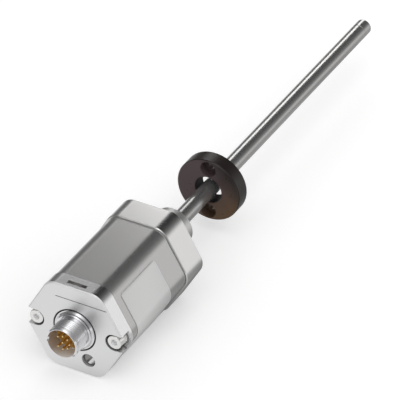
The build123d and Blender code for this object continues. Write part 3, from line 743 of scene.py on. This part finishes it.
class SENSOR_OT_connector(bpy.types.Operator):
    """Dress the connector and add its coupling thread and round-tipped contacts"""
    bl_idname = "sensor.connector"
    bl_label = "Connector"

    def execute(self, context):
        sizes = context.scene.sensor_connector
        dress_nodes("connector_insert", "connector_nut", "connector_board", "connector_seal", "flex_link")
        self.add_shell(sizes)
        self.add_contacts(sizes)
        return {"FINISHED"}

    def add_shell(self, sizes):
        """Turned shell: rim with its key notches, threaded barrel, shoulder and seat."""
        radius = self.barrel_radius()
        front, rear, face = shell_low.y, shell_high.y, cap_low.y
        disc = shell_high.x
        seat = face + self.seat_depth()
        root = radius - sizes.thread_depth
        edge = sizes.shoulder_edge
        shoulder = face - sizes.shoulder_height
        thread_end = shoulder - sizes.thread_relief
        start = front + sizes.notch_depth + sizes.thread_lead
        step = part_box("connector_insert")[0].y
        bm = bmesh.new()
        outline = [(sizes.mouth, front), (sizes.rim, front), (radius, front + radius - sizes.rim),
                   (radius, start), (root, start + sizes.thread_depth / 2), (root, thread_end),
                   (sizes.undercut, thread_end), (sizes.undercut, shoulder),
                   (sizes.shoulder - edge, shoulder), (sizes.shoulder, shoulder + edge),
                   (sizes.shoulder, face - edge), (sizes.shoulder + edge, face), (disc, face),
                   (disc, seat), (radius, seat), (radius, rear), (sizes.bore, rear),
                   (sizes.bore, step), (sizes.mouth, step), (sizes.mouth, front)]
        spin_profile(bm, outline, steps=120)
        self.cut_notches(bm, sizes, front, radius)
        finish_piece("threaded_shell", bm, "connector_nickel", SENSOR, ["connector_shell"], smooth_angle=30)
        self.add_thread(sizes, radius, root, start, thread_end)

    def barrel_radius(self):
        """Outer radius of the thread, as the record's mount states it."""
        mount = next(m for m in frame["record"]["mounts"] if m["name"] == "connector")
        return mount["dims"]["r_mm"] * MM

    def seat_depth(self):
        """Depth of the disc in the cap, from the seal that lies round it."""
        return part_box("connector_seal")[1].y - cap_low.y

    def cut_notches(self, bm, sizes, front, radius):
        """Lowers the rim at the wide notch on the left and at the narrow one."""
        notches = ((math.pi, sizes.wide_notch), (sizes.notch_angle, sizes.side_notch))
        for vert in bm.verts:
            if vert.co.y > front + radius - sizes.rim + CLOSE:
                continue
            angle = math.atan2(vert.co.z, vert.co.x)
            for middle, half in notches:
                apart = abs((angle - middle + math.pi) % (2 * math.pi) - math.pi)
                if apart < half:
                    vert.co.y = front + sizes.notch_depth

    def add_thread(self, sizes, radius, root, start, end):
        """Ridge with sloping flanks that winds along the barrel."""
        foot, crest = 0.42 * sizes.thread_pitch, 0.08 * sizes.thread_pitch
        sunk = root - 0.05 * MM
        first = start + foot
        turns = (end - first - foot) / sizes.thread_pitch
        steps_a_turn = 72
        steps = int(steps_a_turn * turns)
        bm = bmesh.new()
        line = [(sunk, first - foot), (radius, first - crest), (radius, first + crest),
                (sunk, first + foot)]
        face = bm.faces.new([bm.verts.new((r, y, 0)) for r, y in line])
        bmesh.ops.spin(bm, geom=[face], cent=(0, 0, 0), axis=(0, 1, 0), angle=2 * math.pi * turns,
                       steps=steps, dvec=(0, turns * sizes.thread_pitch / steps, 0))
        finish_piece("coupling_thread", bm, "connector_nickel", SENSOR, smooth_angle=30)

    def add_contacts(self, sizes):
        """Gold contacts with domed tips: one in the middle, the rest round it."""
        low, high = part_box("contact_pins")
        radius = sizes.contact_radius
        circle = high.x - radius
        step = sizes.contact_span / (sizes.contact_count - 1)
        start = -sizes.contact_span / 2
        places = [(0.0, 0.0)]
        for k in range(sizes.contact_count):
            angle = start + k * step
            places.append((circle * math.cos(angle), circle * math.sin(angle)))
        dome = [math.radians(angle) for angle in (90, 70, 50, 30, 10, 0)]
        points = [(radius * math.cos(a), low.y + radius * (1 - math.sin(a))) for a in dome]
        points += [(radius, high.y), (0, high.y)]
        bm = bmesh.new()
        for x, z in places:
            spin_profile(bm, points, (x, 0, z), steps=20)
        finish_piece("domed_contacts", bm, "contact_gold", SENSOR, ["contact_pins"])


class SENSOR_OT_nameplate(bpy.types.Operator):
    """Make the bare nameplate with its bevelled edge"""
    bl_idname = "sensor.nameplate"
    bl_label = "Nameplate"

    def execute(self, context):
        sizes = context.scene.sensor_nameplate
        low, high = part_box("nameplate")
        outer = self.bent_line(sizes, sizes.thickness)
        inner = self.bent_line(sizes, 0.0)
        bm = bmesh.new()
        ring = [bm.verts.new((x, low.y, z)) for x, z in outer + inner[::-1]]
        section = bm.faces.new(ring)
        grown = bmesh.ops.extrude_face_region(bm, geom=[section])["geom"]
        rear = [item for item in grown if isinstance(item, bmesh.types.BMVert)]
        bmesh.ops.translate(bm, verts=rear, vec=(0, high.y - low.y, 0))
        short = 1.01 * sizes.thickness
        corners = [edge for edge in bm.edges if edge.calc_length() < short
                   and edge.calc_face_angle(0) > SHARP
                   and abs(edge.verts[0].co.y - edge.verts[1].co.y) < WELD]
        bmesh.ops.bevel(bm, geom=corners, offset=sizes.corner, offset_type="OFFSET", affect="EDGES",
                        segments=8, profile=0.5, material=-1)
        rim = [edge for edge in bm.edges if edge.calc_face_angle(0) > SHARP]
        bmesh.ops.bevel(bm, geom=rim, offset=sizes.edge, offset_type="OFFSET", affect="EDGES", segments=2,
                        profile=0.5, material=-1)
        finish_piece("bare_nameplate", bm, "nameplate_film", SENSOR, ["nameplate"], smooth_angle=35)
        return {"FINISHED"}

    def bent_line(self, sizes, height):
        """Section line over one flat, round the corner and down the next, at a height over the metal."""
        flat = profile_high.z + height
        radius = sizes.bend + height
        slope = math.radians(30)
        middle = (flat - radius) / math.cos(slope)
        top = (flat * math.cos(slope) - sizes.rise * math.sin(slope),
               flat * math.sin(slope) + sizes.rise * math.cos(slope))
        turn = [math.radians(30 - 3 * k) for k in range(21)]
        arc = [(middle + radius * math.cos(a), radius * math.sin(a)) for a in turn]
        return [top] + arc + [(top[0], -top[1])]


class SENSOR_OT_electronics(bpy.types.Operator):
    """Dress the boards and what they carry"""
    bl_idname = "sensor.electronics"
    bl_label = "Electronics"

    def execute(self, context):
        dress_nodes("upper_board", "lower_board", "lamp_board", "status_lamps", "processor_chip",
                    "voltage_regulator", "pulse_transformer", "capacitors")
        return {"FINISHED"}


class SENSOR_OT_element(bpy.types.Operator):
    """Dress the sensing element in the head and in the rod"""
    bl_idname = "sensor.element"
    bl_label = "Sensing element"

    def execute(self, context):
        dress_nodes("element_carrier", "element_pins", "coil_bobbin", "pickup_coil", "strain_tape",
                    "bias_magnet", "waveguide_anchor", "waveguide", "waveguide_sleeve", "return_wire",
                    "damper")
        return {"FINISHED"}


class SENSOR_OT_magnet(bpy.types.Operator):
    """Dress the ring that rides on the machine's moving part"""
    bl_idname = "sensor.magnet"
    bl_label = "Position magnet"

    def execute(self, context):
        dress_nodes("position_magnet")
        return {"FINISHED"}


class SENSOR_OT_stage(bpy.types.Operator):
    """Set up the floor, the studio light and the camera"""
    bl_idname = "sensor.stage"
    bl_label = "Stage"

    def execute(self, context):
        stage = context.scene.sensor_stage
        self.add_floor(context, stage)
        self.set_world(context, stage)
        self.add_lamps(context, stage)
        self.add_camera(context, stage)
        context.scene.view_settings.view_transform = "Standard"
        return {"FINISHED"}

    def seen(self, tree):
        """1 for what the camera and glass see straight, and 0 for all other rays."""
        path = add_node(tree, "LightPath")
        straight, through = path.outputs["Is Camera Ray"], path.outputs["Is Transmission Ray"]
        return maths(tree, "MAXIMUM", straight, through)

    def add_floor(self, context, stage):
        """Pale floor under the head. It keeps the part's shadow, and metal mirrors it with a painted shadow
        that fades with distance.
        """
        bm = bmesh.new()
        bmesh.ops.create_grid(bm, x_segments=1, y_segments=1, size=stage.floor_size / 2,
                              matrix=Matrix.Translation((0, 0, cad_box[0][2])))
        mesh = bpy.data.meshes.new("floor")
        bm.to_mesh(mesh)
        bm.free()
        material, tree, shader = new_material("pale_floor", stage.floor, 0.9)
        shader.inputs["Specular IOR Level"].default_value = 0.0
        glow = both(tree, self.seen(tree), FLOOR_GLOW)
        lift = add_node(tree, "Emission", {"Color": (1, 1, 1, 1), "Strength": glow})
        dull = add_node(tree, "AddShader", {0: shader.outputs["BSDF"], 1: lift.outputs["Emission"]})
        # In the metal the floor has painted shadow under and behind the part, and grows lighter away from
        # it.
        place = add_node(tree, "NewGeometry").outputs["Position"]
        left = add_node(tree, "SeparateXYZ", {"Vector": place}).outputs["X"]
        tone = fade(tree, left, *FADE_LEFT, FADE_TONE, stage.floor_tone)
        for x, y, reach, dark in PAINTED_SHADOW_PLACES:
            away = add_node(tree, "VectorMath", {0: place, 1: (x, y, cad_box[0][2])}, operation="DISTANCE")
            tone = both(tree, tone, fade(tree, away.outputs["Value"], 0.0, reach, dark, 1.0))
        mirrored = add_node(tree, "Emission", {"Color": (1, 1, 1, 1), "Strength": tone})
        path = add_node(tree, "LightPath")
        shown = add_node(tree, "MixShader", {0: path.outputs["Is Glossy Ray"], 1: dull.outputs["Shader"],
                                             2: mirrored.outputs["Emission"]})
        output = next(node for node in tree.nodes if node.type == "OUTPUT_MATERIAL")
        tree.links.new(shown.outputs["Shader"], output.inputs["Surface"])
        mesh.materials.append(material)
        floor = bpy.data.objects.new("floor", mesh)
        context.collection.objects.link(floor)

    def set_world(self, context, stage):
        """White to the camera, even light on dull surfaces, and a toned room in the metal.

        The room's tone changes with the turn about the rod, as between long panels.
        """
        world = bpy.data.worlds.new("studio")
        world.use_nodes = True
        tree = world.node_tree
        tree.nodes.clear()
        place = add_node(tree, "TexCoord").outputs["Generated"]
        # The radial gradient turns about Z, so the rod's axis is laid along Z.
        turned = add_node(tree, "Mapping", {"Vector": place, "Rotation": (math.radians(-90), 0, 0)})
        turn = add_node(tree, "TexGradient", {"Vector": turned.outputs["Vector"]}, gradient_type="RADIAL")
        rear = self.add_tones(tree, turn, REAR_TONES)
        front = self.add_tones(tree, turn, FRONT_TONES)
        along = add_node(tree, "SeparateXYZ", {"Vector": place}).outputs["Y"]
        share = fade(tree, along, 0.0, REAR_FROM, interpolation_type="SMOOTHSTEP")
        tone = add_node(tree, "MixRGB", {"Fac": share, "Color1": front, "Color2": rear})
        room = add_node(tree, "Background", {"Color": tone.outputs["Color"], "Strength": stage.room})
        even = add_node(tree, "Background", {"Color": (1, 1, 1, 1), "Strength": stage.sky})
        white = add_node(tree, "Background", {"Color": (1, 1, 1, 1), "Strength": 1.0})
        path = add_node(tree, "LightPath")
        lit = add_node(tree, "MixShader", {0: path.outputs["Is Glossy Ray"], 1: even.outputs[0],
                                           2: room.outputs[0]})
        shown = add_node(tree, "MixShader", {0: self.seen(tree), 1: lit.outputs[0],
                                             2: white.outputs[0]})
        add_node(tree, "OutputWorld", {"Surface": shown.outputs[0]})
        context.scene.world = world

    def add_tones(self, tree, turn, tones):
        """Colour of the room by the turn about the rod, from a list of angles and tones."""
        node = add_node(tree, "ValToRGB", {"Fac": turn.outputs["Fac"]})
        ramp = node.color_ramp
        ramp.interpolation = "LINEAR"
        while len(ramp.elements) > 1:
            ramp.elements.remove(ramp.elements[-1])
        for index, (angle, tone) in enumerate(tones):
            position = (angle + 180) / 360
            spot = ramp.elements[0] if index == 0 else ramp.elements.new(position)
            spot.position = position
            spot.color = (tone, tone, tone, 1.0)
        last = ramp.elements.new(1.0)
        last.color = ramp.elements[0].color[:]
        return node.outputs["Color"]

    def add_lamps(self, context, stage):
        """Large soft key above the front, and a strip behind that draws the rod's white line."""
        key = self.add_lamp(context, "key", *KEY_LAMP, stage.key_power)
        key.visible_glossy = False
        self.add_lamp(context, "strip", *STRIP_LAMP, stage.strip_power)

    def add_lamp(self, context, name, place, target, size, power):
        """Rectangular lamp that faces a point; its longer side runs along the rod."""
        lamp = bpy.data.lights.new(name, "AREA")
        lamp.shape = "RECTANGLE"
        lamp.size, lamp.size_y = size
        lamp.energy = power
        light = bpy.data.objects.new(name, lamp)
        context.collection.objects.link(light)
        back = (Vector(place) - Vector(target)).normalized()
        side = Vector((0, 1, 0)).cross(back).normalized()
        turn = Matrix((side, back.cross(side), back)).transposed().to_4x4()
        light.matrix_world = Matrix.Translation(place) @ turn
        light.visible_camera = False
        return light

    def add_camera(self, context, stage):
        """Camera at the photograph's place, seen from the middle of the cap's face."""
        turn, rise = stage.azimuth, stage.elevation
        level = math.cos(rise)
        back = Vector((math.sin(turn) * level, -math.cos(turn) * level, math.sin(rise)))
        right = Vector((math.cos(turn), math.sin(turn), 0))
        up = back.cross(right)
        tilt = Matrix.Rotation(stage.roll, 3, back)
        right, up = tilt @ right, tilt @ up
        target = Vector((0, cap_low.y, 0)) + stage.aim_right * right + stage.aim_up * up
        lens = bpy.data.cameras.new("photo_view")
        lens.lens = stage.lens
        lens.sensor_width = 36
        camera = bpy.data.objects.new("photo_view", lens)
        context.collection.objects.link(camera)
        turn = Matrix((right, up, back)).transposed().to_4x4()
        camera.matrix_world = Matrix.Translation(target + stage.distance * back) @ turn
        context.scene.camera = camera


class SENSOR_PT_panel(bpy.types.Panel):
    """Lists the steps in the sidebar"""
    bl_idname = "SENSOR_PT_panel"
    bl_label = "Position sensor"
    bl_space_type = "VIEW_3D"
    bl_region_type = "UI"
    bl_category = "Sensor"

    def draw(self, context):
        for step in STEPS:
            self.layout.operator(step.bl_idname)


STEPS = (SENSOR_OT_metalwork, SENSOR_OT_fasteners, SENSOR_OT_connector, SENSOR_OT_nameplate,
         SENSOR_OT_electronics, SENSOR_OT_element, SENSOR_OT_magnet, SENSOR_OT_stage)
GROUPS = {"finishes": SENSOR_PG_finishes, "connector": SENSOR_PG_connector,
          "fasteners": SENSOR_PG_fasteners, "nameplate": SENSOR_PG_nameplate, "stage": SENSOR_PG_stage}
CLASSES = tuple(GROUPS.values()) + STEPS + (SENSOR_PT_panel,)


def register():
    for item in CLASSES:
        bpy.utils.register_class(item)
    for name, group in GROUPS.items():
        setattr(bpy.types.Scene, "sensor_" + name, bpy.props.PointerProperty(type=group))


def unregister():
    for name in GROUPS:
        delattr(bpy.types.Scene, "sensor_" + name)
    for item in reversed(CLASSES):
        bpy.utils.unregister_class(item)


def main():
    register()
    bpy.ops.sensor.metalwork()
    bpy.ops.sensor.fasteners()
    bpy.ops.sensor.connector()
    bpy.ops.sensor.nameplate()
    bpy.ops.sensor.electronics()
    bpy.ops.sensor.element()
    bpy.ops.sensor.magnet()
    bpy.ops.sensor.stage()


if __name__ == "__main__":
    main()
